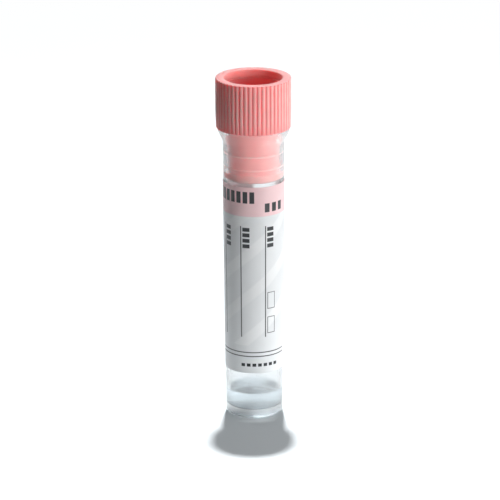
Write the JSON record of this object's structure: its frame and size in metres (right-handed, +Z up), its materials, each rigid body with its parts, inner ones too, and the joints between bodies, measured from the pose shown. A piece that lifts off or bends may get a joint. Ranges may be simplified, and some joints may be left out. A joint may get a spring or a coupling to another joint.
{
  "type": "blood collection tube",
  "caption": "Clear flat-bottomed blood collection tube with a flared mouth, a ribbed hollow push-in stopper, a wrap-round write-on label and a dose of anticoagulant solution.",
  "frame": {"origin": "middle of the tube's foot, on the surface that it stands on", "axes": "+Z up along the tube, towards the stopper; -Y is the front, which the label's printed lines face"},
  "size_m": [0.0164, 0.0164, 0.076],
  "materials": {
    "clear_polypropylene": "clear moulded polypropylene, slightly hazy",
    "pink_polyethylene": "satin moulded low-density polyethylene",
    "printed_label": "satin label stock with a pink band and printed rules",
    "citrate_solution": "clear watery liquid"
  },
  "bodies": {
    "tube": {"tube": "clear_polypropylene", "label": "printed_label", "solution": "citrate_solution"},
    "stopper": {"stopper": "pink_polyethylene"}
  },
  "joints": [
    {"name": "stopper_pull", "type": "slide", "parent": "tube", "child": "stopper", "axis": [0, 0, 1], "range_m": [0, 0.012]}
  ]
}
